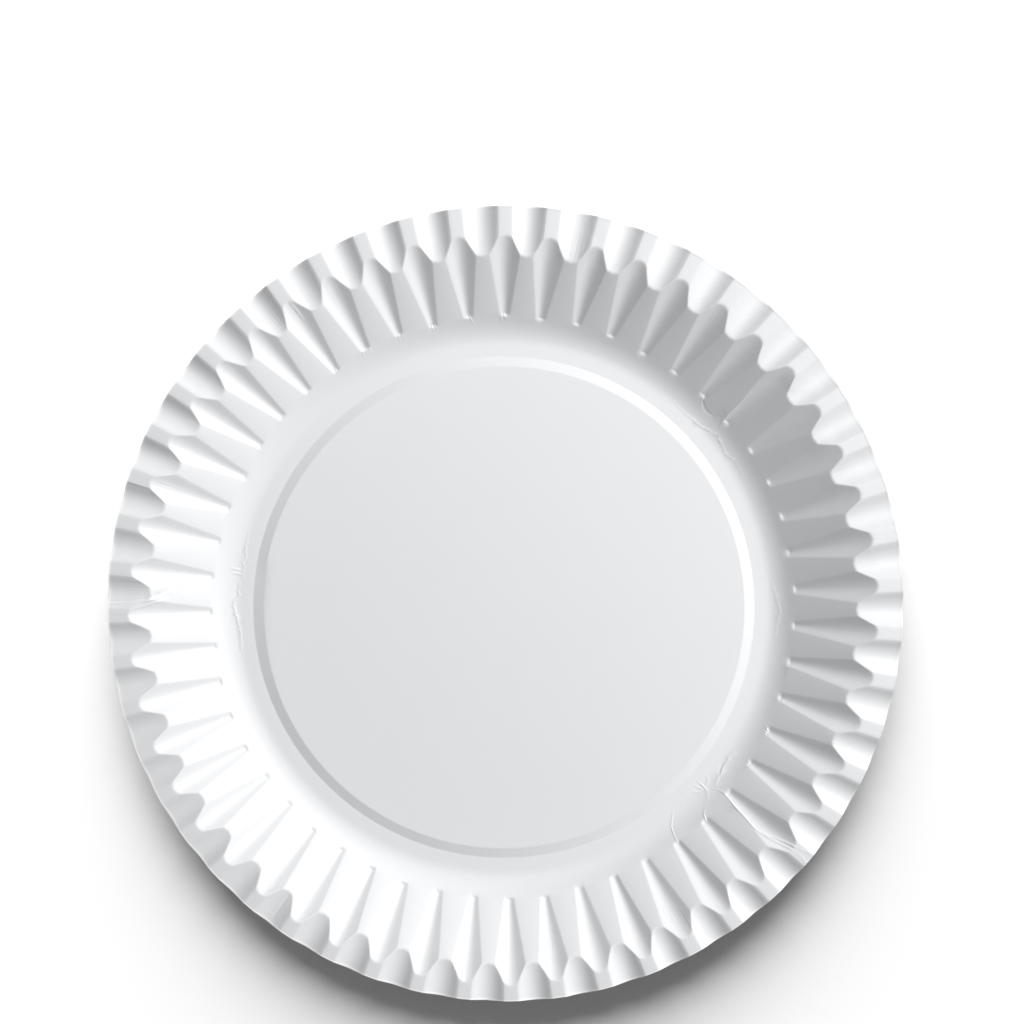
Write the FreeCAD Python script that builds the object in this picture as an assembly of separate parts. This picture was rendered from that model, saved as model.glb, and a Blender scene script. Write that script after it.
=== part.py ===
"""A fluted paper plate, pressed from one round blank of coated board.

Millimetres, +Z up. The origin is on the plate's axis, at the level of the underside of the foot.
The board lies between two formers: a punch above it, and the same punch grown by one board thickness.
Each former is a turned body with a rib for each flute of the wall and each lobe of the flange, so the
two skins of the board, and the zigzag knuckle where wall and flange meet, come from the same sizes.
"""
import FreeCAD, Part
import math
import os

# Blank and rim, measured across the plate
OUTER_D = 230.0
FLANGE_W = 10.2
WALL_W = 27.3
FOOT_W = 3.1
STEP_W = 3.1

# Slopes, corner and board
WALL_ANGLE = 30.0
FLANGE_ANGLE = 4.5
CORNER_R = 13.0
PANEL_RISE = 0.8
BOARD = 0.5

# Flutes: grooves down the wall, one for each share of the rim
FLUTES = 51
FLUTE_RUN = 18.2
FLUTE_TIP_DEPTH = 0.5
FLUTE_TIP_FLOOR = 1.6
FLUTE_DEPTH = 1.6
FLUTE_FLOOR = 3.9
FLUTE_FLANK_ANGLE = 28.0

# Lobes: troughs across the flange, half a share round from the flutes
LOBE_DEPTH = 1.56
LOBE_FLOOR = 3.4
LOBE_FLANK_ANGLE = 30.0

# Allowances of the construction
OVERRUN = 3.0
HEADROOM = 20.0
SEAM_TOLERANCE = 1e-6
SEWING_TOLERANCE = 1e-5

ORIGIN = FreeCAD.Vector(0, 0, 0)
AXIS = FreeCAD.Vector(0, 0, 1)
PITCH = 360.0 / FLUTES
FIRST_FLUTE = PITCH / 2
WALL = math.radians(WALL_ANGLE)
FLANGE = math.radians(-FLANGE_ANGLE)

OUTER_R = OUTER_D / 2
KNUCKLE_R = OUTER_R - FLANGE_W
FOOT_R = KNUCKLE_R - WALL_W
STEP_R = FOOT_R - FOOT_W
PANEL_R = STEP_R - STEP_W
PANEL_Z = BOARD + PANEL_RISE
CORNER_Z = BOARD + CORNER_R
WALL_START_R = FOOT_R + CORNER_R * math.sin(WALL)
WALL_START_Z = CORNER_Z - CORNER_R * math.cos(WALL)
KNUCKLE_Z = WALL_START_Z + (KNUCKLE_R - WALL_START_R) * math.tan(WALL)
TOP_Z = KNUCKLE_Z + HEADROOM


def point(r, z):
    """A point of the section through the axis."""
    return FreeCAD.Vector(r, 0, z)


def grown_corner(r, z, slope_in, slope_out, growth):
    """The corner between two straight stretches of the section, moved outwards by the growth."""
    before = (math.sin(slope_in), -math.cos(slope_in))
    after = (math.sin(slope_out), -math.cos(slope_out))
    share = growth / (1 + before[0] * after[0] + before[1] * after[1])
    return point(r + share * (before[0] + after[0]), z + share * (before[1] + after[1]))


def punch_body(growth):
    """The turned body of the punch over the shares next to the first flute, without its ribs."""
    step = -math.atan2(PANEL_RISE, STEP_W)
    corner = CORNER_R + growth
    reach = OUTER_R + OVERRUN
    centre = point(0, PANEL_Z - growth)
    panel = grown_corner(PANEL_R, PANEL_Z, 0, step, growth)
    foot_in = grown_corner(STEP_R, BOARD, step, 0, growth)
    foot_out = point(FOOT_R, CORNER_Z - corner)
    bend = point(FOOT_R + corner * math.sin(WALL / 2), CORNER_Z - corner * math.cos(WALL / 2))
    wall = point(FOOT_R + corner * math.sin(WALL), CORNER_Z - corner * math.cos(WALL))
    knuckle = grown_corner(KNUCKLE_R, KNUCKLE_Z, WALL, FLANGE, growth)
    rim = point(reach, knuckle.z + (reach - knuckle.x) * math.tan(FLANGE))
    section = Part.Wire([
        Part.makeLine(centre, panel),
        Part.makeLine(panel, foot_in),
        Part.makeLine(foot_in, foot_out),
        Part.Arc(foot_out, bend, wall).toShape(),
        Part.makeLine(wall, knuckle),
        Part.makeLine(knuckle, rim),
        Part.makeLine(rim, point(reach, TOP_Z)),
        Part.makeLine(point(reach, TOP_Z), point(0, TOP_Z)),
        Part.makeLine(point(0, TOP_Z), centre),
    ])
    body = Part.Face(section).revolve(ORIGIN, AXIS, 2 * PITCH)
    body.rotate(ORIGIN, AXIS, -PITCH)
    return body


def rib_section(r, slope, depth, floor, flank, growth):
    """The rib's section across the sloping surface at radius r: a floor between two flanks."""
    z = KNUCKLE_Z + (r - KNUCKLE_R) * math.tan(slope)
    down = point(math.sin(slope), -math.cos(slope))
    floor_half = floor / 2 + growth * math.tan(flank / 2)
    top_half = floor_half + (2 * depth + growth) / math.tan(flank)
    floor_mid = point(r, z) + down * (depth + growth)
    top_mid = point(r, z) - down * depth
    side = FreeCAD.Vector(0, 1, 0)
    return [
        floor_mid - side * floor_half,
        floor_mid + side * floor_half,
        top_mid + side * top_half,
        top_mid - side * top_half,
    ]


def rib(start, end):
    """The solid between two sections of a rib, with flat faces."""
    faces = [Part.Face(Part.makePolygon(ring + ring[:1])) for ring in (start, end)]
    for i in range(len(start)):
        j = (i + 1) % len(start)
        faces.append(Part.Face(Part.makePolygon([start[i], start[j], end[j], end[i], start[i]])))
    shell = Part.Shell(faces)
    shell.sewShape()
    solid = Part.Solid(shell)
    if solid.Volume < 0:
        solid.reverse()
    return solid


def flute(growth):
    """The rib of one flute: it widens and deepens from its tip, up the wall and past the knuckle."""
    def section(r):
        share = (r - KNUCKLE_R + FLUTE_RUN) / FLUTE_RUN
        depth = FLUTE_TIP_DEPTH + (FLUTE_DEPTH - FLUTE_TIP_DEPTH) * share
        floor = FLUTE_TIP_FLOOR + (FLUTE_FLOOR - FLUTE_TIP_FLOOR) * share
        return rib_section(r, WALL, depth, floor, math.radians(FLUTE_FLANK_ANGLE), growth)

    tip_r = KNUCKLE_R - FLUTE_RUN - growth * math.cos(WALL)
    return rib(section(tip_r), section(OUTER_R))


def lobe(growth):
    """The rib of one lobe: its width and depth keep their share of the radius, out past the edge."""
    def section(r):
        share = r / KNUCKLE_R
        flank = math.radians(LOBE_FLANK_ANGLE)
        return rib_section(r, FLANGE, LOBE_DEPTH * share, LOBE_FLOOR * share, flank, growth)

    buried = 2 * (LOBE_DEPTH + BOARD) / (math.tan(WALL) - math.tan(FLANGE))
    return rib(section(KNUCKLE_R - buried), section(OUTER_R + OVERRUN))


def punch(growth):
    """The punch round the first flute, with the lobes at either side of it."""
    ribs = [flute(growth)]
    for side in (-1, 1):
        trough = lobe(growth)
        trough.rotate(ORIGIN, AXIS, side * PITCH / 2)
        ribs.append(trough)
    return punch_body(growth).multiFuse(ribs)


def share_of_board():
    """The board of one share: all that lies between the two punches, cut round at the outer edge."""
    outline = Part.Face(Part.makePolygon([
        point(0, -HEADROOM),
        point(OUTER_R, -HEADROOM),
        point(OUTER_R, KNUCKLE_Z + OVERRUN),
        point(0, KNUCKLE_Z + OVERRUN),
        point(0, -HEADROOM),
    ]))
    wedge = outline.revolve(ORIGIN, AXIS, PITCH)
    wedge.rotate(ORIGIN, AXIS, -PITCH / 2)
    return punch(BOARD).cut(punch(0)).common(wedge)


def lies_on_seam(face):
    """Whether a face is one of the two flat cheeks between neighbouring shares."""
    middle = face.CenterOfMass
    turn = math.degrees(math.atan2(middle.y, middle.x))
    return abs(abs(turn) - PITCH / 2) < SEAM_TOLERANCE


def plate():
    """The whole plate: the skin of one share, repeated round the axis and sewn into one solid."""
    skin = Part.Compound([face for face in share_of_board().Faces if not lies_on_seam(face)])
    shares = []
    for number in range(FLUTES):
        share = skin.copy()
        share.rotate(ORIGIN, AXIS, FIRST_FLUTE + number * PITCH)
        shares.append(share)
    whole = Part.Compound(shares)
    whole.sewShape(SEWING_TOLERANCE)
    return Part.Solid(whole.Shells[0]).removeSplitter()


os.makedirs("parts", exist_ok=True)
board = plate()
board.exportStep("parts/plate.step")
print("plate: valid", board.isValid(), "faces", len(board.Faces), "volume mm3", round(board.Volume, 1))
print("box", board.BoundBox)
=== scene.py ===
"""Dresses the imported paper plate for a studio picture.

The board is shaped as it is in a works. A flat round blank is laid out, the former moves every point
of it to its pressed place, and the board then gets its thickness. Lengths are metres and angles are
radians, and +Z is up, with the plate standing on its foot at the height of zero.
"""

import math

import bmesh
import bpy
import numpy as np
from mathutils import Matrix, Vector


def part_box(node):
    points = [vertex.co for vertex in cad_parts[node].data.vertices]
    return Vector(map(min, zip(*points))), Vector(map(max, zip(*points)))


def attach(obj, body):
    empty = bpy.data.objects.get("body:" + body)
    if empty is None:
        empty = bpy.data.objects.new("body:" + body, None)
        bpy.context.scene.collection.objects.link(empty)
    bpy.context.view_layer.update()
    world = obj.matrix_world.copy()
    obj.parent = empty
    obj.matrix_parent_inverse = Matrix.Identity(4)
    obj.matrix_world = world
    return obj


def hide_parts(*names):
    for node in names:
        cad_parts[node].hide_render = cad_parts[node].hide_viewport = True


bl_info = {
    "name": "Fluted Paper Plate",
    "version": (1, 0, 0),
    "blender": (4, 5, 0),
    "location": "3D View > Sidebar > Plate",
    "description": "Presses a fluted paper plate from a flat blank and lights it",
    "category": "Add Mesh",
}

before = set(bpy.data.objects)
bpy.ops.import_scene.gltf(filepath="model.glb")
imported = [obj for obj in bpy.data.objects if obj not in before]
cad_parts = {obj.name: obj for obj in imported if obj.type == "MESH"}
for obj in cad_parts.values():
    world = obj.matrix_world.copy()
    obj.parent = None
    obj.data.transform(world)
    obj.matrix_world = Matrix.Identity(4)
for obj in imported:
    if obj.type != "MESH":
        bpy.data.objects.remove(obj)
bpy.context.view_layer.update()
NODE_LOW, NODE_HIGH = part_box("plate")
MM = 0.001
TURN = 2 * math.pi


# Sizes, finishes and lights that a user may change
def length(name, description, default):
    """A property that holds a length in metres."""
    return bpy.props.FloatProperty(
        name=name, description=description, default=default, min=0.0, precision=5,
        subtype="DISTANCE", unit="LENGTH",
    )


def angle(name, description, degrees):
    """A property that holds an angle."""
    return bpy.props.FloatProperty(
        name=name, description=description, default=math.radians(degrees),
        subtype="ANGLE", unit="ROTATION",
    )


def share(name, description, default):
    """A property that holds a share from 0 to 1."""
    return bpy.props.FloatProperty(
        name=name, description=description, default=default, min=0.0, max=1.0, subtype="FACTOR",
    )


def colour(name, description, default):
    """A property that holds a colour."""
    return bpy.props.FloatVectorProperty(
        name=name, description=description, default=default, size=3, min=0.0, max=1.0,
        subtype="COLOR",
    )


class PlateSizes(bpy.types.PropertyGroup):
    """Sizes of the former and of the board that it presses"""
    outer_diameter: length("Outer diameter", "Across the cut edge", NODE_HIGH.x - NODE_LOW.x)
    flange_width: length("Flange width", "From the knuckle to the cut edge", 10.2 * MM)
    wall_width: length("Wall width", "From the foot to the knuckle", 27.3 * MM)
    foot_width: length("Foot width", "Of the flat ring that the plate stands on", 3.1 * MM)
    step_width: length("Step width", "Of the slope up to the middle panel", 3.1 * MM)
    panel_rise: length("Panel rise", "Of the middle panel over the foot", 1.08 * MM)
    corner_radius: length("Corner radius", "Between the foot and the wall", 14.1 * MM)
    board: length("Board", "Thickness of the board", 0.5 * MM)
    wall_angle: angle("Wall angle", "Slope of the wall", 30)
    flange_angle: angle("Flange angle", "Fall of the flange towards the edge", 1.0)
    flutes: bpy.props.IntProperty(
        name="Flutes", description="Number of flutes round the wall", default=51, min=3,
    )
    flute_run: length("Flute run", "From a flute's tip to the knuckle", 18.2 * MM)
    flute_tip_depth: length("Tip depth", "Depth of a flute at its tip", 0.5 * MM)
    flute_depth: length("Flute depth", "Depth of a flute at the knuckle", 1.6 * MM)
    flute_tip_half: length("Tip half width", "Half the width of a flute at its tip", 1.5 * MM)
    flute_half: length("Flute half width", "Half the width of a flute at the knuckle", 4.8 * MM)
    lobe_depth: length("Lobe depth", "Depth of a lobe of the flange at the knuckle", 1.63 * MM)
    lobe_half: length("Lobe half width", "Half the width of a lobe at the knuckle", 4.45 * MM)
    first_flute: angle("First flute", "Where the first flute stands round the axis", 4.0)
    drift_along: angle("Drift along", "How far the flutes run ahead at the +X side", -0.40)
    drift_across: angle("Drift across", "How far the flutes run ahead at the +Y side", 1.11)
    blank_offset: bpy.props.FloatVectorProperty(
        name="Blank offset", description="How far the blank lay off the former's centre",
        default=(0.6 * MM, 1.8 * MM), size=2, precision=5, subtype="XYZ", unit="LENGTH",
    )
    knuckle_softness: length("Knuckle softness", "Height over which the knuckle rounds", 0.3 * MM)
    groove_softness: length("Groove softness", "Height over which a groove's lip rounds", 0.2 * MM)
    burr: length("Burr", "Height of the burr that the cutter leaves along the edge", 0.06 * MM)
    unevenness: share("Unevenness", "How much the flutes differ from each other", 0.08)
    seed: bpy.props.IntProperty(name="Seed", description="Of the unevenness", default=7, min=0)


class BoardFinish(bpy.types.PropertyGroup):
    """Colours and gloss of the coated board"""
    face: colour("Face", "Coated upper face", (0.88, 0.888, 0.90))
    face_shade: colour("Face shade", "Coated face where the coat is thin", (0.855, 0.866, 0.882))
    back: colour("Back", "Bare underside", (0.80, 0.80, 0.785))
    back_shade: colour("Back shade", "Bare underside between its fibres", (0.73, 0.725, 0.705))
    cut: colour("Cut edge", "Pulp of the cut edge", (0.87, 0.865, 0.85))
    # Painted highlight: near-white for the strip of the face along the cut edge, standing in for light
    # caught there
    edge_highlight: colour("Edge highlight", "Painted highlight: near-white along the last of the cut edge", (0.97, 0.972, 0.975))
    gloss: share("Roughness", "Roughness of the coated face", 0.46)


class StudioLight(bpy.types.PropertyGroup):
    """Lights, floor and camera"""
    key_turn: angle("Key turn", "Direction of the key light round the plate", 27)
    key_height: angle("Key height", "Height of the key light over the floor", 34)
    key_distance: length("Key distance", "From the plate to the key light", 2.2)
    key_size: length("Key size", "Diameter of the key light", 1.1)
    key_power: bpy.props.FloatProperty(
        name="Key power", description="Power of the key light", default=43.0, min=0.0,
        subtype="POWER", unit="POWER",
    )
    softbox_at: bpy.props.FloatVectorProperty(
        name="Softbox place", description="Of the wide soft light over the plate",
        default=(0.27, 0.27, 1.1), size=3, subtype="XYZ", unit="LENGTH",
    )
    softbox_size: length("Softbox size", "Side of the soft light over the plate", 0.9)
    softbox_power: bpy.props.FloatProperty(
        name="Softbox power", description="Power of the soft light over the plate", default=5.15, min=0.0,
        subtype="POWER", unit="POWER",
    )
    fill: bpy.props.FloatProperty(
        name="Fill", description="Strength of the light from all round", default=0.05, min=0.0,
    )
    floor: colour("Floor", "Colour of the floor", (0.80, 0.80, 0.80))
    floor_turn: angle("Floor light turn", "Direction of the light that only the floor takes", 91)
    floor_height: angle("Floor light height", "Height of the light that only the floor takes", 26)
    floor_spread: angle("Floor light spread", "Angle that this light fills", 54)
    floor_light: bpy.props.FloatProperty(
        name="Floor light", description="Strength of the light that only the floor takes", default=7.8,
        min=0.0,
    )
    floor_sky_size: length("Floor sky size", "Side of the wide lamp that only the floor takes", 4.0)
    floor_sky_height: length("Floor sky height", "Height of the wide lamp that only the floor takes", 1.0)
    floor_sky_power: bpy.props.FloatProperty(
        name="Floor sky power", description="Power of the wide lamp that only the floor takes",
        default=9.0, min=0.0, subtype="POWER", unit="POWER",
    )
    camera_height: length("Camera height", "Of the camera over the floor", 0.5)
    camera_at: bpy.props.FloatVectorProperty(
        name="Camera place", description="Of the camera over the plate",
        default=(1.85 * MM, 26.4 * MM), size=2, precision=5, subtype="XYZ", unit="LENGTH",
    )
    lens: bpy.props.FloatProperty(
        name="Lens", description="Focal length", default=59.25, min=1.0,
        subtype="DISTANCE_CAMERA",
    )


# Shader maths
class Value:
    """A number that a material works out at each point, so that maths on it can be written plainly."""

    def __init__(self, shading, socket):
        self.shading = shading
        self.socket = socket

    def worked(self, operation, *numbers):
        """The value of one step of maths."""
        made = self.shading.node("ShaderNodeMath", {"operation": operation}, dict(enumerate(numbers)))
        return Value(self.shading, made.outputs[0])

    def __add__(self, other):
        return self.worked("ADD", self, other)

    def __sub__(self, other):
        return self.worked("SUBTRACT", self, other)

    def __rsub__(self, other):
        return self.worked("SUBTRACT", other, self)

    def __mul__(self, other):
        return self.worked("MULTIPLY", self, other)

    def __truediv__(self, other):
        return self.worked("DIVIDE", self, other)

    def root(self):
        """The square root."""
        return self.worked("SQRT", self)

    def above_zero(self):
        """The value itself where it is above zero, and zero elsewhere."""
        return self.worked("MAXIMUM", self, 0)

    def below_one(self):
        """The value itself where it is below one, and one elsewhere."""
        return self.worked("MINIMUM", self, 1)

    __radd__ = __add__
    __rmul__ = __mul__


class Shading:
    """The nodes of one material or world."""

    def __init__(self, owner):
        owner.use_nodes = True
        self.tree = owner.node_tree
        self.tree.nodes.clear()

    def node(self, kind, settings, inputs):
        """Adds a node, makes its settings, and fills its sockets with numbers or links."""
        made = self.tree.nodes.new(kind)
        for name, setting in settings.items():
            setattr(made, name, setting)
        for name, given in inputs.items():
            if isinstance(given, Value):
                given = given.socket
            if isinstance(given, bpy.types.NodeSocket):
                self.tree.links.new(given, made.inputs[name])
            else:
                made.inputs[name].default_value = given
        return made

    def noise(self, place, scale, detail, roughness=0.5):
        """A noise pattern from 0 to 1, with this many patches to the metre."""
        made = self.node("ShaderNodeTexNoise", {"noise_dimensions": "3D"}, {
            "Vector": place, "Scale": scale, "Detail": detail, "Roughness": roughness,
        })
        return Value(self, made.outputs["Fac"])

    def blended(self, amount, first, second):
        """A colour between two colours."""
        first, second = (
            given if isinstance(given, bpy.types.NodeSocket) else (*given, 1) for given in (first, second)
        )
        made = self.node("ShaderNodeMix", {"data_type": "RGBA"}, {"Factor": amount, 6: first, 7: second})
        return made.outputs[2]

    def stretched(self, place, scale):
        """The place with each axis scaled, so that a pattern runs along one of them."""
        made = self.node("ShaderNodeVectorMath", {"operation": "MULTIPLY"}, {0: place, 1: scale})
        return made.outputs[0]

    def bumped(self, height):
        """A normal from a height in millimetres."""
        made = self.node("ShaderNodeBump", {}, {"Distance": MM, "Strength": 1.0, "Height": height})
        return made.outputs["Normal"]


# Materials of the board: the radius for patterns that are drawn out along the radius, and how far,
# then where cracks, worn spots and the painted highlight along the cut edge start and how fast they take
# effect, in metres
RIM_R = 0.105
RIM_DRAWN = 0.07
CRACKS_R, CRACKS_FADE = 0.1045, 150
WORN_FROM, WORN_FADE = 0.54, 8
EDGE_HIGHLIGHT_R, EDGE_HIGHLIGHT_FADE = 0.11425, 3000


def rim_places(shading, place):
    """The radius in metres, and a place that is drawn out along the radius."""
    axes = shading.node("ShaderNodeSeparateXYZ", {}, {0: place}).outputs
    x, y = Value(shading, axes[0]), Value(shading, axes[1])
    r = (x * x + y * y).root()
    drawn = shading.node("ShaderNodeCombineXYZ", {}, {
        0: RIM_R * x / r, 1: RIM_R * y / r, 2: RIM_DRAWN * r,
    })
    return r, drawn.outputs[0]


def knuckle_cracks(shading, place, r, drawn):
    """Fine cracks of the coat here and there, which run outwards over the knuckle and fade beside it."""
    out = (r - CRACKS_R) * CRACKS_FADE
    near = (1 - out * out).above_zero()
    worn = ((shading.noise(place, 70, 1) - WORN_FROM) * WORN_FADE).above_zero().below_one()
    return near * worn * shading.noise(drawn, 2400, 2, 0.6)


def finish_of_face(finish):
    """Coated white face: a thin smooth coat over pulp, with a faint sheen and soft clouds."""
    material = bpy.data.materials.new("coated_face")
    shading = Shading(material)
    place = shading.node("ShaderNodeTexCoord", {}, {}).outputs["Object"]
    clouds = shading.noise(place, 45, 4, 0.55)
    patches = shading.noise(shading.stretched(place, (1.0, 1.7, 1.0)), 120, 3)
    grain = shading.noise(place, 1500, 3, 0.6)
    pits = shading.noise(place, 5200, 2)
    height = 0.035 * clouds + 0.012 * patches + 0.0045 * grain + 0.0012 * pits
    r, drawn = rim_places(shading, place)
    height = height + 0.16 * knuckle_cracks(shading, place, r, drawn)
    paint = shading.blended(0.7 * clouds + 0.3 * grain, finish.face, finish.face_shade)
    # Painted highlight: outwards from a radius of 114.25 mm the face is blended to near-white, a bright
    # line along the cut edge that stands in for light caught there
    edge_highlight = ((r - EDGE_HIGHLIGHT_R) * EDGE_HIGHLIGHT_FADE).above_zero().below_one()
    paint = shading.blended(edge_highlight, paint, finish.edge_highlight)
    board = shading.node("ShaderNodeBsdfPrincipled", {}, {
        "Base Color": paint,
        "Roughness": finish.gloss - 0.06 + 0.08 * patches + 0.06 * grain,
        "IOR": 1.46,
        "Coat Weight": 0.5,
        "Coat Roughness": 0.30,
        "Normal": shading.bumped(height),
    })
    shading.node("ShaderNodeOutputMaterial", {}, {"Surface": board.outputs[0]})
    return material


def finish_of_back(finish):
    """Bare underside: uncoated board with its fibres showing."""
    material = bpy.data.materials.new("bare_underside")
    shading = Shading(material)
    place = shading.node("ShaderNodeTexCoord", {}, {}).outputs["Object"]
    fibres = shading.noise(shading.stretched(place, (1.0, 4.5, 1.0)), 520, 5, 0.65)
    felt = shading.noise(place, 150, 4, 0.6)
    grain = shading.noise(place, 2100, 3, 0.7)
    height = 0.03 * fibres + 0.03 * felt + 0.012 * grain
    paint = shading.blended(0.55 * fibres + 0.25 * felt + 0.2 * grain, finish.back_shade, finish.back)
    board = shading.node("ShaderNodeBsdfPrincipled", {}, {
        "Base Color": paint,
        "Roughness": 0.78 + 0.14 * grain,
        "IOR": 1.4,
        "Normal": shading.bumped(height),
    })
    shading.node("ShaderNodeOutputMaterial", {}, {"Surface": board.outputs[0]})
    return material


def finish_of_cut(finish):
    """Cut edge: the pulp between the two faces, in fine layers."""
    material = bpy.data.materials.new("cut_edge")
    shading = Shading(material)
    place = shading.node("ShaderNodeTexCoord", {}, {}).outputs["Object"]
    layers = shading.noise(shading.stretched(place, (1.0, 1.0, 9.0)), 900, 4, 0.6)
    paint = shading.blended(layers, finish.cut, finish.back)
    board = shading.node("ShaderNodeBsdfPrincipled", {}, {
        "Base Color": paint,
        "Roughness": 0.82 + 0.1 * layers,
        "IOR": 1.4,
        "Normal": shading.bumped(0.02 * layers),
    })
    shading.node("ShaderNodeOutputMaterial", {}, {"Surface": board.outputs[0]})
    return material


# The former
def smooth_least(first, second, soft):
    """The lower of two heights, rounded where they meet."""
    near = np.clip(1 - np.abs(first - second) / soft, 0, 1)
    return np.minimum(first, second) - near ** 2 * soft / 4


def smooth_most(first, second, soft):
    """The higher of two heights, rounded where they meet."""
    return -smooth_least(-first, -second, soft)


class Former:
    """The former that presses the blank. Radii and angles are measured about the former's own centre."""

    # Columns of half a share, which crowd at the lobe's edge and on both sides of the flute's lip, how
    # close they crowd there, and how fast they spread again over the flange
    COLUMN_SHARES = (0, 0.25, 0.375, 0.625, 0.75, 0.875, 1)
    LIP_GRADE = 0.3 * MM
    SPREAD = 4.0

    # Radii from which the columns leave their even places, and the blank is drawn to the knuckle
    EVEN_R = 79 * MM
    HOLD_R = 90 * MM

    # A flute's rounded tip and bottom, and the most that flutes and their tips (in mm) stray
    TIP_LEAD = 1.1 * MM
    TIP_POWER = 3
    FLUTE_ROUND = 0.5
    SHIFT_SHARE = 0.25
    TIP_STRAY = 7

    # Rounds in which the knuckle and the pressed place are worked out from each other
    ROUNDS = 4

    # The cut edge: what the cutter takes off between lobes, and where its burr starts and how it rises
    TRIM = 0.25 * MM
    BURR_IN = 0.60 * MM
    BURR_RUN = 0.42 * MM

    # The step up to the middle panel: its rounding, and the stretch where it is pressed wider
    STEP_SOFT = 0.05 * MM
    JOG = 0.9 * MM
    JOG_FROM = math.radians(169)
    JOG_TO = math.radians(202)
    JOG_SOFT = math.radians(0.8)

    def __init__(self, sizes):
        self.sizes = sizes
        self.pitch = TURN / sizes.flutes
        self.centre = -Vector(sizes.blank_offset)
        self.edge_r = sizes.outer_diameter / 2
        self.knuckle_r = self.edge_r - sizes.flange_width
        self.foot_r = self.knuckle_r - sizes.wall_width
        self.step_r = self.foot_r - sizes.foot_width
        self.tip_r = self.knuckle_r - sizes.flute_run
        self.wall_slope = math.tan(sizes.wall_angle)
        self.flange_slope = math.tan(sizes.flange_angle)
        self.wall_r = self.foot_r + sizes.corner_radius * math.sin(sizes.wall_angle)
        self.wall_z = sizes.board + sizes.corner_radius * (1 - math.cos(sizes.wall_angle))
        self.knuckle_z = self.wall_z + (self.knuckle_r - self.wall_r) * self.wall_slope
        self.lobe_angle = sizes.lobe_half / self.knuckle_r
        chance = np.random.default_rng(sizes.seed)
        count = sizes.flutes
        self.flute_gain = 1 + sizes.unevenness * chance.uniform(-1, 1, count)
        self.lobe_gain = 1 + sizes.unevenness * chance.uniform(-1, 1, count)
        shift = self.SHIFT_SHARE
        self.flute_shift = sizes.unevenness * self.pitch * chance.uniform(-shift, shift, count)
        self.lobe_shift = sizes.unevenness * self.pitch * chance.uniform(-shift, shift, count)
        self.tip_shift = sizes.unevenness * chance.uniform(-self.TIP_STRAY, self.TIP_STRAY, count) * MM

    def turned_height(self, r, turn):
        """Height of the turned part: middle panel, step, foot, corner and plain wall."""
        sizes = self.sizes
        round_turn = np.mod(turn, TURN)
        jog = np.clip((round_turn - self.JOG_FROM) / self.JOG_SOFT, 0, 1)
        jog = self.JOG * jog * np.clip((self.JOG_TO - round_turn) / (self.JOG_TO - self.JOG_FROM), 0, 1)
        slope = sizes.board + (self.step_r - r) * sizes.panel_rise / (sizes.step_width + jog)
        inside = smooth_least(sizes.board + sizes.panel_rise, slope, self.STEP_SOFT)
        inside = smooth_most(inside, sizes.board, self.STEP_SOFT)
        run = np.clip(r - self.foot_r, 0, self.wall_r - self.foot_r)
        corner = sizes.board + sizes.corner_radius - np.sqrt(sizes.corner_radius ** 2 - run ** 2)
        outside = corner + np.maximum(r - self.wall_r, 0) * self.wall_slope
        return np.where(r < (self.step_r + self.foot_r) / 2, inside, outside)

    def flange_height(self, r):
        """Height of the plain flange, carried on inwards past the knuckle."""
        return self.knuckle_z - (r - self.knuckle_r) * self.flange_slope

    def flank(self, out):
        """Share of a flute's depth that its side has climbed, at this share of the way out."""
        bend = self.FLUTE_ROUND
        return (np.sqrt(bend ** 2 + out ** 2) - bend) / (math.sqrt(bend ** 2 + 1) - bend)

    def flute_half(self, r):
        """Half the width of a flute."""
        sizes = self.sizes
        along = np.maximum((r - self.tip_r) / sizes.flute_run, 0)
        return sizes.flute_tip_half + (sizes.flute_half - sizes.flute_tip_half) * along

    def flute_hollow(self, r, aside, flute):
        """How deep a flute lies below the wall, at an angle aside of its middle."""
        sizes = self.sizes
        along = np.maximum((r - self.tip_r) / sizes.flute_run, 0)
        depth = sizes.flute_tip_depth + (sizes.flute_depth - sizes.flute_tip_depth) * along
        depth = depth * self.flute_gain[flute] / math.cos(sizes.wall_angle)
        lead = np.maximum(self.tip_r + self.tip_shift[flute] - r, 0) / self.TIP_LEAD
        power = self.TIP_POWER
        out = (np.abs(r * aside / self.flute_half(r)) ** power + lead ** power) ** (1 / power)
        bowl = depth * (1 - self.flank(out))
        soft = np.minimum(sizes.groove_softness, depth / 2)
        return smooth_most(bowl, 0, soft)

    def lobe_hollow(self, r, aside, lobe):
        """How deep a lobe lies below the flange, at an angle aside of the flute next to it."""
        sizes = self.sizes
        depth = sizes.lobe_depth * (r / self.knuckle_r) ** 2 * self.lobe_gain[lobe]
        across = (self.pitch / 2 - np.abs(aside)) / self.lobe_angle
        return smooth_most(depth * (1 - across ** 2), 0, sizes.groove_softness)

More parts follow.
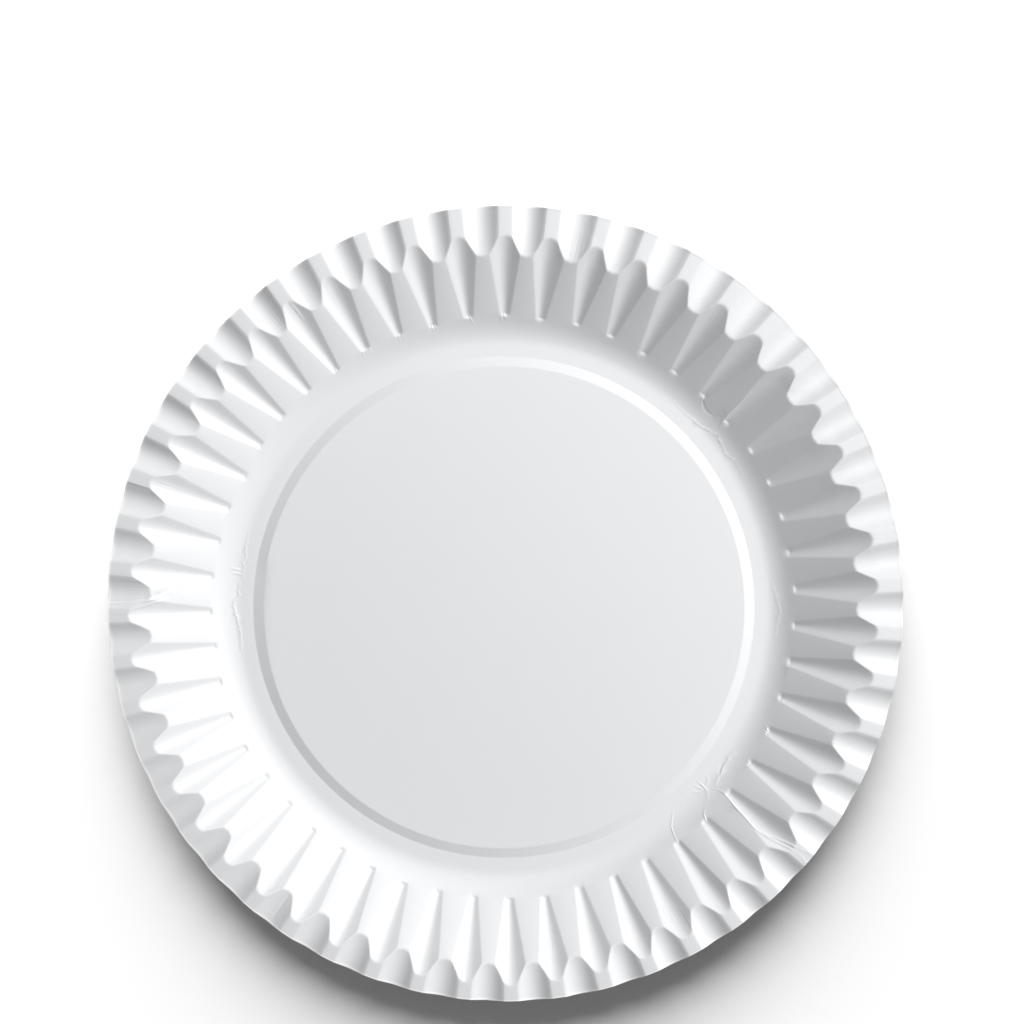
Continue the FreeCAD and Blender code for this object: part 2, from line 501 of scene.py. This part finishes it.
    def opened(self, column, r, out):
        """The angle aside of a flute's middle at which a column of the blank is pressed."""
        half_pitch = self.pitch / 2
        reach = np.clip(r, self.tip_r, self.knuckle_r)
        even = np.clip((r - self.EVEN_R) / (self.tip_r - MM - self.EVEN_R), 0, 1)
        spread = np.clip(self.SPREAD * out, 0, 1)
        near = self.LIP_GRADE / reach
        lip = self.flute_half(reach) / reach
        edge = lip * (half_pitch - self.lobe_angle) * self.knuckle_r / self.sizes.flute_half
        shares = self.COLUMN_SHARES
        over_lobe = [(share - shares[2]) / (1 - shares[2]) for share in shares]
        even_lobe = [edge + over * (half_pitch - edge) for over in over_lobe[3:]]
        crowded = [lip - near, lip, lip + near, half_pitch]
        outer = [spread * a + (1 - spread) * b for a, b in zip(even_lobe, crowded)]
        places = [0, edge - near, edge] + outer
        places = [even * a + (1 - even) * b * half_pitch for a, b in zip(places, shares)]
        aside = np.zeros_like(r)
        for a, b, start, end in zip(shares, shares[1:], places, places[1:]):
            aside = aside + np.clip((column - a) / (b - a), 0, 1) * (end - start)
        return aside

    def ridge(self, aside, flute, lobe):
        """Radius at which the wall meets the flange."""
        r = np.full_like(aside, self.knuckle_r)
        for _ in range(self.ROUNDS):
            lift = self.flute_hollow(r, aside, flute) - self.lobe_hollow(r, aside, lobe)
            r = self.knuckle_r + lift / (self.wall_slope + self.flange_slope)
        return r

    def cut_r(self, turn):
        """Radius of the blank's cut edge, which isn't centred on the former."""
        off = Vector(self.sizes.blank_offset)
        ahead = off.x * np.cos(turn) + off.y * np.sin(turn)
        beside = off.y * np.cos(turn) - off.x * np.sin(turn)
        return ahead + np.sqrt(self.edge_r ** 2 - beside ** 2)

    def pressed(self, flat_r, flat_turn):
        """Where points of the flat blank lie when pressed: radius, angle and height."""
        sizes = self.sizes
        count = sizes.flutes
        number = np.round(flat_turn / self.pitch)
        column = 2 * (flat_turn / self.pitch - number)
        side = np.where(column < 0, -1, 1)
        column = np.abs(column)
        flute = number.astype(int) % count
        lobe = np.where(side > 0, flute, flute - 1) % count
        swell = np.clip((flat_r - self.HOLD_R) / (self.knuckle_r - self.HOLD_R), 0, 1) ** 2
        out = (flat_r - self.knuckle_r) / (self.edge_r - self.knuckle_r)
        r = flat_r
        for _ in range(self.ROUNDS):
            aside = self.opened(column, r, out)
            shift = self.flute_shift[flute] * (1 - column) + self.lobe_shift[lobe] * column
            turn = number * self.pitch + side * aside + shift + sizes.first_flute
            turn = turn + sizes.drift_along * np.cos(turn) + sizes.drift_across * np.sin(turn)
            ridge = self.ridge(aside, flute, lobe)
            on_wall = flat_r + swell * (ridge - self.knuckle_r)
            low = self.lobe_hollow(r, aside, lobe) / sizes.lobe_depth
            on_flange = ridge + out * (self.cut_r(turn) - self.TRIM * np.clip(1 - low, 0, 1) - ridge)
            r = np.where(out < 0, on_wall, on_flange)
        wall = self.turned_height(r, turn) - self.flute_hollow(r, aside, flute)
        flange = self.flange_height(r) - self.lobe_hollow(r, aside, lobe)
        height = smooth_least(wall, flange, sizes.knuckle_softness)
        burr = np.clip((flat_r - self.edge_r + self.BURR_IN) / self.BURR_RUN, 0, 1)
        return r, turn, height + sizes.burr * burr


# Handling marks: a name, its height, its width and how far its line strays, in mm, and the line's
# points, as radius in mm and angle in degrees about the former's centre
MARKS = (
    ("base crackle, left", 0.138, 0.2, 0.21, (
        (78.8, 163.6), (78.5, 165.6), (78.5, 167.6), (77.8, 168.7), (78.5, 170.4), (77.9, 171.8),
        (78.1, 173.5),
    )),
    ("base crackle, left, lower", 0.166, 0.2, 0.21, (
        (78.5, 174.7), (79.0, 176.5), (78.4, 177.3), (79.9, 178.7), (80.1, 179.6), (79.5, 180.8),
        (79.1, 182.4), (78.7, 184.0), (78.4, 185.6), (78.9, 189.6),
    )),
    ("base crackle, left, second strand", -0.11, 0.19, 0.13, (
        (79.0, 175.3), (79.3, 177.3), (79.5, 178.1),
    )),
    ("cross tick", 0.129, 0.19, 0.16, ((81.7, 171.9), (80.1, 171.9), (78.3, 172.0))),
    ("cross tick, second", 0.11, 0.19, 0.16, ((81.1, 172.8), (78.3, 172.9))),
    ("base crackle, upper right", 0.11, 0.14, 0.14, (
        (78.9, 50.9), (78.7, 48.7), (78.5, 46.8), (78.9, 44.8), (79.2, 42.4), (80.5, 40.4), (80.9, 38.7),
        (80.7, 37.2), (79.9, 34.8), (80.7, 32.9), (81.0, 31.2), (80.6, 28.5),
    )),
    ("arc between two tips", -0.19, 0.2, 0, (
        (86.7, 46.5), (84.6, 46.0), (83.4, 44.4), (83.6, 42.7), (84.9, 41.6), (86.7, 40.9),
    )),
    ("fold along a flute", 0.17, 0.2, 0.15, ((82.9, 39.8), (86.7, 40.7), (91.1, 40.9), (95.5, 41.3))),
    ("star, upper ray", 0.184, 0.2, 0.18, (
        (80.7, 328.0), (80.1, 326.4), (80.3, 324.7), (80.8, 322.9), (81.1, 321.2), (82.0, 319.8),
    )),
    ("star, upper ray, second strand", -0.11, 0.19, 0.1, ((79.7, 325.4), (80.2, 323.2), (80.9, 321.9))),
    ("star, inner ray", 0.147, 0.2, 0.16, ((77.2, 318.2), (80.5, 318.0), (81.4, 317.5))),
    ("star, inner ray, second", 0.11, 0.19, 0.13, ((76.6, 316.8), (80.6, 317.6))),
    ("star, inner ray, third", 0.092, 0.19, 0.13, ((79.2, 313.6), (79.1, 315.7), (80.6, 317.6))),
    ("fold to the edge", 0.244, 0.22, 0.09, (
        (81.3, 318.7), (83.4, 319.7), (85.3, 319.9), (87.5, 319.6), (90.2, 319.3), (93.6, 319.1),
        (97.2, 318.8), (100.4, 319.2), (104.4, 320.2), (109.1, 321.0), (115.8, 321.8),
    )),
    ("fold to the edge, second", 0.211, 0.21, 0.09, (
        (98.1, 319.2), (101.8, 319.2), (104.9, 319.8), (108.7, 320.3), (111.8, 320.3), (115.8, 319.9),
    )),
    ("star, outer ray", 0.10, 0.19, 0.14, ((80.9, 318.3), (82.4, 316.9), (83.6, 315.9))),
    ("star, short ray", 0.09, 0.18, 0.10, ((80.6, 317.8), (79.4, 319.6), (78.4, 320.4))),
    ("star, short ray, second", 0.08, 0.17, 0.10, ((80.5, 317.4), (78.9, 316.0), (77.7, 315.4))),
    ("hook at a tip", 0.144, 0.17, 0, ((84.0, 315.2), (84.8, 314.1), (87.0, 313.4))),
    ("line past a tip", 0.112, 0.16, 0.065, (
        (78.6, 309.7), (81.5, 307.4), (84.2, 306.7), (86.8, 306.5),
    )),
    ("whisker", 0.078, 0.18, 0.05, ((84.8, 335.7), (87.0, 334.2))),
    ("whisker, second", 0.078, 0.18, 0.05, ((84.7, 327.9), (86.8, 327.4))),
    ("edge tear", -0.36, 0.22, 0.04, (
        (93.7, 176.0), (97.5, 176.7), (99.6, 177.6), (101.2, 178.0), (103.1, 178.3), (106.9, 178.7),
        (110.4, 178.8), (116.0, 178.9),
    )),
    ("edge tear, lip", 0.24, 0.26, 0, (
        (93.7, 176.3), (97.5, 177.0), (99.6, 177.9), (101.2, 178.3), (103.1, 178.6), (106.9, 178.98),
        (110.4, 179.06), (116.0, 179.15),
    )),
    ("edge tear, side fold", 0.162, 0.24, 0.075, (
        (97.9, 178.4), (100.3, 178.8), (103.1, 179.3), (106.9, 180.0),
    )),
    ("edge tear, side fold, outer", 0.113, 0.22, 0.075, (
        (106.9, 180.1), (109.9, 180.6), (113.1, 180.4),
    )),
    ("flange crease, upper left", -0.156, 0.24, 0.03, (
        (106.2, 161.2), (111.0, 161.3), (115.8, 161.4),
    )),
    ("flange crease, lower left", -0.13, 0.24, 0.03, ((102.7, 233.1), (111.8, 233.2))),
    ("knuckle crease, top", 0.13, 0.24, 0.03, ((102.2, 124.6), (107.8, 124.8))),
    ("knuckle crease, bottom", 0.117, 0.24, 0.03, ((104.1, 263.5), (108.5, 263.6))),
    ("base crackle, right", 0.092, 0.21, 0.13, ((80.8, 353.5), (81.7, 359.4), (79.7, 365.4))),
    ("lump on the step", 0.117, 0.3, 0, ((71.0, 169.0), (74.8, 169.2))),
)

# Radius in mm past which a mark's line runs out over the edge, and the steps of a strayed line
OVER_EDGE = 115
MARK_STEP = 0.5 * MM

# How a mark fades towards its ends, or only in from its first end where it runs out over the edge
FADE_AT_END = 0.03
FADE_POWER = 0.35
RUN_IN = 0.25
FAR_OFF = 1.0

# Rays at the tips of some flutes: the tips' angles in degrees, the rays' number and spread in degrees,
# and their lengths, heights, width and stray in mm
FRAYED_TIPS = (90.3, 97.3, 104.2, 111.0, 118.2, 125.2, 327.6, 334.6, 341.5, 348.4)
FRAY_RAYS = 2
FRAY_FROM = 86.9
FRAY_SPREAD = 1.3
FRAY_ROOT = 0.4
FRAY_LENGTHS = (1.4, 3.0)
FRAY_RISES = (0.06, 0.10)
FRAY_WIDTH = 0.14
FRAY_STRAY = 0.05

# How far from a mark's line the blank is divided, once and again, and the shortest edge to divide
REFINE_REACHES = (0.75 * MM, 0.38 * MM)
REFINE_LENGTH = 0.22 * MM

# How far the board keeps from the floor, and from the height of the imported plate
FOOT_LIFT = 0.04 * MM
TOP_GAP = 0.02 * MM
TOP_SOFT = 0.1 * MM


def mark_line(points, stray, chance):
    """The line of a mark, broken into short steps that stray to both sides."""
    corners = []
    for r, degrees in points:
        turn = math.radians(degrees)
        corners.append(Vector((r * MM * math.cos(turn), r * MM * math.sin(turn))))
    line = corners[:1]
    for start, end in zip(corners, corners[1:]):
        steps = max(1, round((end - start).length / MARK_STEP))
        aside = Vector((start.y - end.y, end.x - start.x)).normalized() * stray * MM
        for step in range(1, steps):
            line.append(start.lerp(end, step / steps) + aside * chance.uniform(-1, 1))
        line.append(end)
    return line


def frayed_tips(chance):
    """Short rays inwards from the tips of some flutes, where the coat has cracked."""
    marks = []
    for tip in FRAYED_TIPS:
        for _ in range(FRAY_RAYS):
            aside = chance.uniform(-FRAY_SPREAD, FRAY_SPREAD)
            end = FRAY_FROM - chance.uniform(*FRAY_LENGTHS)
            points = ((FRAY_FROM, tip + aside * FRAY_ROOT), (end, tip + aside))
            marks.append(("frayed tip", chance.uniform(*FRAY_RISES), FRAY_WIDTH, FRAY_STRAY, points))
    return marks


def handling_lines(seed):
    """Every handling mark as its height, its width, whether it runs out over the edge, and its line."""
    chance = np.random.default_rng(seed)
    marks = list(MARKS) + frayed_tips(chance)
    return [
        (rise * MM, width * MM, points[-1][0] > OVER_EDGE, mark_line(points, stray, chance))
        for _, rise, width, stray, points in marks
    ]


def mark_distances(x, y, line):
    """Distance of each point of the plate to a mark's line, and how far along the line it lies."""
    steps = [(q - p).length for p, q in zip(line, line[1:])]
    nearest = np.full_like(x, FAR_OFF)
    along = np.zeros_like(x)
    done = 0.0
    for p, q, step in zip(line, line[1:], steps):
        way = np.clip(((x - p.x) * (q.x - p.x) + (y - p.y) * (q.y - p.y)) / step ** 2, 0, 1)
        distance = np.hypot(x - p.x - way * (q.x - p.x), y - p.y - way * (q.y - p.y))
        closer = distance < nearest
        nearest = np.where(closer, distance, nearest)
        along = np.where(closer, (done + way * step) / sum(steps), along)
        done += step
    return nearest, along


def marked_height(x, y, lines):
    """Height that the handling marks add to the pressed board."""
    height = np.zeros_like(x)
    for rise, width, over_edge, line in lines:
        distance, along = mark_distances(x, y, line)
        fade = np.sin(np.pi * np.clip(along, FADE_AT_END, 1 - FADE_AT_END)) ** FADE_POWER
        if over_edge:
            fade = np.clip(along / RUN_IN, 0, 1)
        height += rise * fade * np.exp(-(distance / width) ** 2)
    return height


# The blank: radii of its rings in mm, coarser under the panel and finer out to the edge, and the columns
# of one share of the rim
PANEL_RINGS = (
    14, 28, 42, 54, 63, 68.5, 70.4, 71.0, 71.2, 71.3, 71.4, 71.6, 72.2, 73.4, 74.1, 74.3, 74.4, 74.5,
    74.7, 75.3, 76.0,
)
RIM_RINGS = (
    76.7, 77.6, 78.7, 79.8, 81.0, 82.3, 83.6, 84.7, 85.4, 85.7, 85.95, 86.2, 86.4, 86.6, 86.9, 87.6, 89.2,
    91.8, 94.8, 97.6, 99.9, 101.6, 102.8, 103.6, 104.1, 104.4, 104.6, 104.8, 105.0, 105.2, 105.6, 106.4,
    108.0, 110.2, 112.4, 114.0, 114.4, 114.55, 114.82, 115.0,
)
PANEL_COLUMNS = 2
COLUMNS = 16


def grow(bm, loop, rings):
    """Grows the flat disc outwards from its edge, one ring after another, and gives its new edge."""
    for r in rings:
        made = bmesh.ops.extrude_edge_only(bm, edges=loop)["geom"]
        points = [g for g in made if isinstance(g, bmesh.types.BMVert)]
        fresh = set(points)
        loop = [g for g in made if isinstance(g, bmesh.types.BMEdge) and fresh.issuperset(g.verts)]
        ratio = r * MM / points[0].co.length
        bmesh.ops.scale(bm, vec=(ratio, ratio, 1), verts=points)
    return loop


def divide_edge(bm, loop, parts):
    """Divides each edge of the disc's rim into equal parts, and rounds the rim again."""
    r = loop[0].verts[0].co.length
    made = bmesh.ops.subdivide_edges(bm, edges=loop, cuts=parts - 1)["geom_inner"]
    for v in {g for g in made if isinstance(g, bmesh.types.BMVert)}:
        v.co *= r / v.co.length
    return [e for e in bm.edges if e.is_boundary]


def lay_blank(bm, former):
    """Lays out the flat blank, in finer parts where the flutes and lobes are to be pressed."""
    flutes = former.sizes.flutes
    bmesh.ops.create_circle(
        bm, cap_ends=True, cap_tris=True, segments=flutes * PANEL_COLUMNS, radius=PANEL_RINGS[0] * MM,
    )
    bmesh.ops.rotate(bm, verts=bm.verts[:], cent=(0, 0, 0), matrix=Matrix.Rotation(-TURN / 4, 3, "Z"))
    edge = grow(bm, [e for e in bm.edges if e.is_boundary], PANEL_RINGS[1:])
    edge = divide_edge(bm, edge, COLUMNS // PANEL_COLUMNS)
    grow(bm, edge, RIM_RINGS)


def places_of(points):
    """Arrays of the x and y of points of the blank."""
    flat = np.array([(p.x, p.y) for p in points])
    return flat[:, 0], flat[:, 1]


def refine_by_marks(bm, former, lines):
    """Divides the faces of the blank that a handling mark runs over, and again those right under it."""
    for reach in REFINE_REACHES:
        faces = list(bm.faces)
        x, y = places_of([f.calc_center_median() for f in faces])
        r, turn, _ = former.pressed(np.hypot(x, y), np.arctan2(y, x))
        px, py = r * np.cos(turn), r * np.sin(turn)
        near = np.zeros(len(faces), bool)
        for *_, line in lines:
            near |= mark_distances(px, py, line)[0] < reach
        crossed = {e for f, hit in zip(faces, near) if hit for e in f.edges}
        edges = [e for e in bm.edges if e in crossed and e.calc_length() > REFINE_LENGTH]
        bmesh.ops.subdivide_edges(bm, edges=edges, cuts=1, use_grid_fill=True)


def press(bm, former, lines):
    """Moves every point of the flat blank to its pressed place."""
    points = list(bm.verts)
    x, y = places_of([v.co for v in points])
    r, turn, height = former.pressed(np.hypot(x, y), np.arctan2(y, x))
    px, py = r * np.cos(turn), r * np.sin(turn)
    height = height + marked_height(px, py, lines)
    height = np.maximum(height, former.sizes.board + FOOT_LIFT)
    height = smooth_least(height, NODE_HIGH.z - TOP_GAP, TOP_SOFT)
    for v, vx, vy, vz in zip(points, px, py, height):
        v.co = (vx + former.centre.x, vy + former.centre.y, vz)


def face_up(bm):
    """Points every face of the open skin upwards."""
    bmesh.ops.recalc_face_normals(bm, faces=bm.faces[:])
    if sum(f.normal.z for f in bm.faces) < 0:
        bmesh.ops.reverse_faces(bm, faces=bm.faces[:])


class PressPlate(bpy.types.Operator):
    """Press the paper plate from a flat round blank of coated board"""
    bl_idname = "mesh.press_paper_plate"
    bl_label = "Press Paper Plate"

    def execute(self, context):
        sizes = context.scene.plate_sizes
        finish = context.scene.board_finish
        former = Former(sizes)
        bm = bmesh.new()
        lay_blank(bm, former)
        lines = handling_lines(sizes.seed)
        refine_by_marks(bm, former, lines)
        face_up(bm)
        press(bm, former, lines)
        bm.normal_update()
        for edge in bm.edges:
            edge.smooth = not edge.is_boundary
        for face in bm.faces:
            face.smooth = True
        mesh = bpy.data.meshes.new("plate_board")
        bm.to_mesh(mesh)
        bm.free()
        for material in (finish_of_face(finish), finish_of_back(finish), finish_of_cut(finish)):
            mesh.materials.append(material)
        plate = bpy.data.objects.new("plate_board", mesh)
        context.scene.collection.objects.link(plate)
        thickness = plate.modifiers.new("board", "SOLIDIFY")
        thickness.thickness = sizes.board
        thickness.offset = -1
        thickness.use_even_offset = True
        thickness.use_quality_normals = True
        thickness.material_offset = 1
        thickness.material_offset_rim = 2
        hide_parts("plate")
        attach(plate, "root")
        return {"FINISHED"}


# The stage: the floor's half width and its gap to the foot, and the camera's sensor in mm and nearest
# distance
FLOOR_HALF = 4.0
FLOOR_GAP = 0.05 * MM
SENSOR_WIDTH = 36
CLIP_START = 0.01


def floor_finish(light):
    """Plain pale floor."""
    material = bpy.data.materials.new("studio_floor")
    shading = Shading(material)
    plain = shading.node("ShaderNodeBsdfDiffuse", {}, {"Color": (*light.floor, 1)})
    shading.node("ShaderNodeOutputMaterial", {}, {"Surface": plain.outputs[0]})
    return material


def surroundings(light):
    """Even light from all round, which the camera and the gloss see as a pale backdrop."""
    world = bpy.data.worlds.new("studio")
    shading = Shading(world)
    ray = shading.node("ShaderNodeLightPath", {}, {}).outputs
    seen = Value(shading, ray["Is Camera Ray"]) + Value(shading, ray["Is Glossy Ray"])
    seen = seen + Value(shading, ray["Is Transmission Ray"])
    fill = shading.node("ShaderNodeBackground", {}, {"Strength": light.fill})
    pale = shading.node("ShaderNodeBackground", {}, {"Strength": 1.0})
    mixed = shading.node("ShaderNodeMixShader", {}, {0: seen, 1: fill.outputs[0], 2: pale.outputs[0]})
    shading.node("ShaderNodeOutputWorld", {}, {"Surface": mixed.outputs[0]})
    return world


def direction(turn, height):
    """The way from the plate to a light."""
    level = math.cos(height)
    return Vector((level * math.cos(turn), level * math.sin(turn), math.sin(height)))


def hang_lamp(scene, name, lamp, place):
    """Puts a lamp at its place, facing the plate."""
    holder = bpy.data.objects.new(name, lamp)
    holder.location = place
    holder.rotation_euler = Vector(place).to_track_quat("Z", "Y").to_euler()
    scene.collection.objects.link(holder)
    return holder


def part_from_floor(lamp, floor, state):
    """Lets a lamp light only the floor (INCLUDE) or all but the floor (EXCLUDE)."""
    group = bpy.data.collections.new(lamp.name + "_and_floor")
    group.objects.link(floor)
    group.collection_objects[0].light_linking.link_state = state
    lamp.light_linking.receiver_collection = group


def lay_floor(scene, light):
    """Lays the floor just under the foot of the plate."""
    bm = bmesh.new()
    bmesh.ops.create_grid(bm, x_segments=4, y_segments=4, size=FLOOR_HALF)
    bmesh.ops.translate(bm, verts=bm.verts[:], vec=(0, 0, -FLOOR_GAP))
    mesh = bpy.data.meshes.new("floor")
    bm.to_mesh(mesh)
    bm.free()
    mesh.materials.append(floor_finish(light))
    floor = bpy.data.objects.new("floor", mesh)
    scene.collection.objects.link(floor)
    return floor


class SetStage(bpy.types.Operator):
    """Set the floor, the lights and the camera"""
    bl_idname = "scene.set_plate_stage"
    bl_label = "Set Plate Stage"

    def execute(self, context):
        scene = context.scene
        light = scene.studio_light
        floor = lay_floor(scene, light)
        scene.world = surroundings(light)

        key = bpy.data.lights.new("key", "AREA")
        key.shape = "DISK"
        key.size = light.key_size
        key.energy = light.key_power
        place = direction(light.key_turn, light.key_height) * light.key_distance
        part_from_floor(hang_lamp(scene, "key", key, place), floor, "EXCLUDE")

        softbox = bpy.data.lights.new("softbox", "AREA")
        softbox.size = light.softbox_size
        softbox.energy = light.softbox_power
        part_from_floor(hang_lamp(scene, "softbox", softbox, light.softbox_at), floor, "EXCLUDE")

        wash = bpy.data.lights.new("floor_wash", "SUN")
        wash.angle = light.floor_spread
        wash.energy = light.floor_light
        place = direction(light.floor_turn, light.floor_height)
        part_from_floor(hang_lamp(scene, "floor_wash", wash, place), floor, "INCLUDE")

        sky = bpy.data.lights.new("floor_sky", "AREA")
        sky.size = light.floor_sky_size
        sky.energy = light.floor_sky_power
        place = (0, 0, light.floor_sky_height)
        part_from_floor(hang_lamp(scene, "floor_sky", sky, place), floor, "INCLUDE")

        camera = bpy.data.cameras.new("camera")
        camera.sensor_width = SENSOR_WIDTH
        camera.lens = light.lens
        camera.clip_start = CLIP_START
        holder = bpy.data.objects.new("camera", camera)
        holder.location = (*light.camera_at, light.camera_height)
        scene.collection.objects.link(holder)
        scene.camera = holder
        scene.view_settings.view_transform = "Standard"
        return {"FINISHED"}


class PlatePanel(bpy.types.Panel):
    """Lists the steps and the sizes"""
    bl_idname = "VIEW3D_PT_paper_plate"
    bl_label = "Paper Plate"
    bl_space_type = "VIEW_3D"
    bl_region_type = "UI"
    bl_category = "Plate"

    def draw(self, context):
        layout = self.layout
        layout.operator(PressPlate.bl_idname)
        layout.operator(SetStage.bl_idname)
        for group in (context.scene.plate_sizes, context.scene.board_finish, context.scene.studio_light):
            box = layout.box()
            for name in group.bl_rna.properties.keys():
                if name not in ("rna_type", "name"):
                    box.prop(group, name)


CLASSES = (PlateSizes, BoardFinish, StudioLight, PressPlate, SetStage, PlatePanel)


def register():
    """Makes the settings, the steps and the panel known to Blender."""
    for cls in CLASSES:
        bpy.utils.register_class(cls)
    bpy.types.Scene.plate_sizes = bpy.props.PointerProperty(type=PlateSizes)
    bpy.types.Scene.board_finish = bpy.props.PointerProperty(type=BoardFinish)
    bpy.types.Scene.studio_light = bpy.props.PointerProperty(type=StudioLight)


def unregister():
    """Takes them away again."""
    del bpy.types.Scene.studio_light
    del bpy.types.Scene.board_finish
    del bpy.types.Scene.plate_sizes
    for cls in reversed(CLASSES):
        bpy.utils.unregister_class(cls)


def main():
    """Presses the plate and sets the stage."""
    register()
    bpy.ops.mesh.press_paper_plate()
    bpy.ops.scene.set_plate_stage()


if __name__ == "__main__":
    main()
